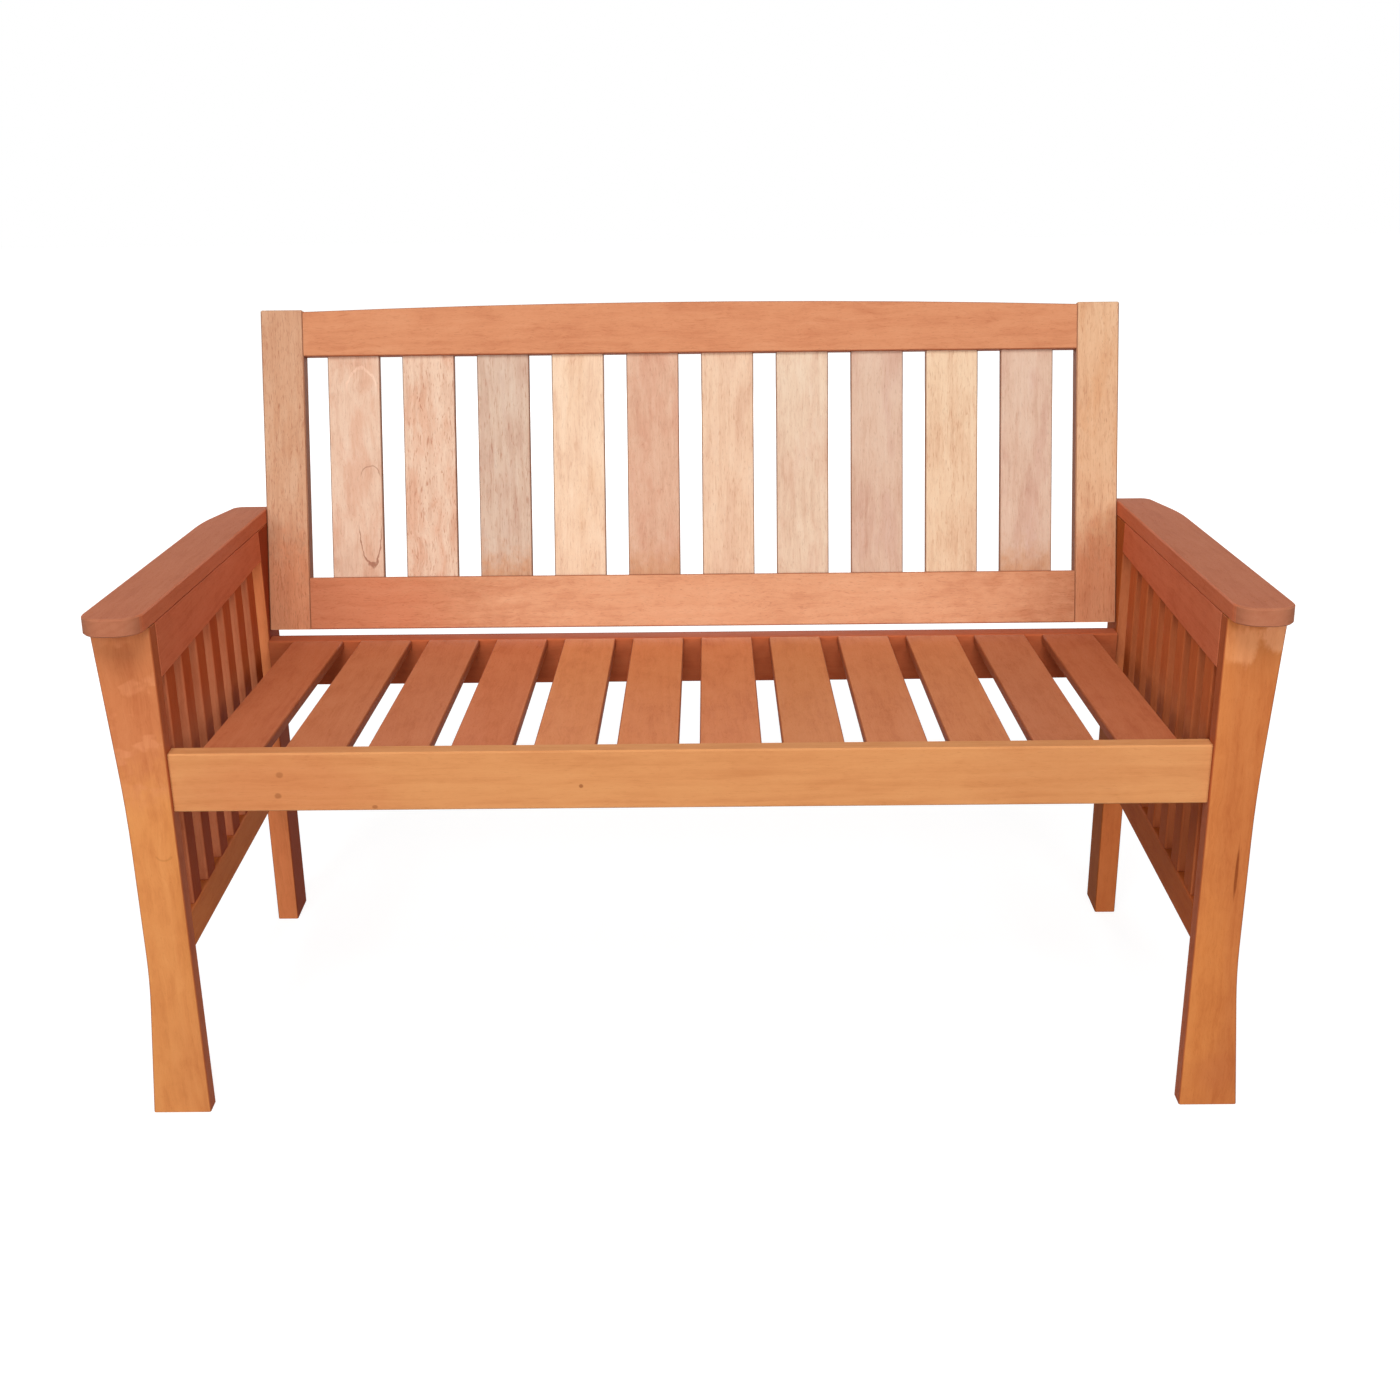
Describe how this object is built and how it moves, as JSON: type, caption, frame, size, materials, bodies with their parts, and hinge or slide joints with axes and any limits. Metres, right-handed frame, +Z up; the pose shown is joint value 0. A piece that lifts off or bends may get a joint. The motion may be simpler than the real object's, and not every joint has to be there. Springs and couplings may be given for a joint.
{
  "type": "slatted garden settle",
  "caption": "Two-seat slatted hardwood settle with arms, a leaning back with an arched top rail, slatted sides and front legs hollowed to a waist.",
  "frame": {"origin": "on the floor, under the middle of the whole settle's box", "axes": "+X to the right as seen from the front, +Y from the front towards the back, +Z up"},
  "size_m": [1.219, 0.6402, 0.8108],
  "materials": {
    "golden_wood": "satin oil",
    "red_brown_wood": "satin oil",
    "arm_wood": "satin oil",
    "seat_wood": "satin oil",
    "back_frame_wood": "satin oil",
    "pink_slat_wood": "satin oil",
    "grey_slat_wood": "satin oil",
    "pale_slat_wood": "satin oil",
    "zinc_steel": "bright zinc plating"
  },
  "bodies": {
    "root": {"back_bottom_rail": "back_frame_wood", "back_panel_bolts": "zinc_steel", "back_slat_1": "pink_slat_wood", "back_slat_10": "pink_slat_wood", "back_slat_2": "pink_slat_wood", "back_slat_3": "grey_slat_wood", "back_slat_4": "pale_slat_wood", "back_slat_5": "pink_slat_wood", "back_slat_6": "pale_slat_wood", "back_slat_7": "pale_slat_wood", "back_slat_8": "grey_slat_wood", "back_slat_9": "pale_slat_wood", "back_top_rail": "back_frame_wood", "left_arm": "arm_wood", "left_back_leg": "red_brown_wood", "left_back_stile": "back_frame_wood", "left_front_leg": "golden_wood", "left_lower_side_rail": "red_brown_wood", "left_side_slat_1": "red_brown_wood", "left_side_slat_2": "red_brown_wood", "left_side_slat_3": "red_brown_wood", "left_side_slat_4": "red_brown_wood", "left_side_slat_5": "red_brown_wood", "left_side_slat_6": "red_brown_wood", "left_side_slat_7": "red_brown_wood", "left_upper_side_rail": "red_brown_wood", "right_arm": "arm_wood", "right_back_leg": "red_brown_wood", "right_back_stile": "back_frame_wood", "right_front_leg": "golden_wood", "right_lower_side_rail": "red_brown_wood", "right_side_slat_1": "red_brown_wood", "right_side_slat_2": "red_brown_wood", "right_side_slat_3": "red_brown_wood", "right_side_slat_4": "red_brown_wood", "right_side_slat_5": "red_brown_wood", "right_side_slat_6": "red_brown_wood", "right_side_slat_7": "red_brown_wood", "right_upper_side_rail": "red_brown_wood", "seat_back_rail": "red_brown_wood", "seat_front_rail": "golden_wood", "seat_rail_bolts": "zinc_steel", "seat_slat_1": "seat_wood", "seat_slat_10": "seat_wood", "seat_slat_11": "seat_wood", "seat_slat_12": "seat_wood", "seat_slat_2": "seat_wood", "seat_slat_3": "seat_wood", "seat_slat_4": "seat_wood", "seat_slat_5": "seat_wood", "seat_slat_6": "seat_wood", "seat_slat_7": "seat_wood", "seat_slat_8": "seat_wood", "seat_slat_9": "seat_wood", "square_nuts": "zinc_steel"}
  },
  "joints": []
}
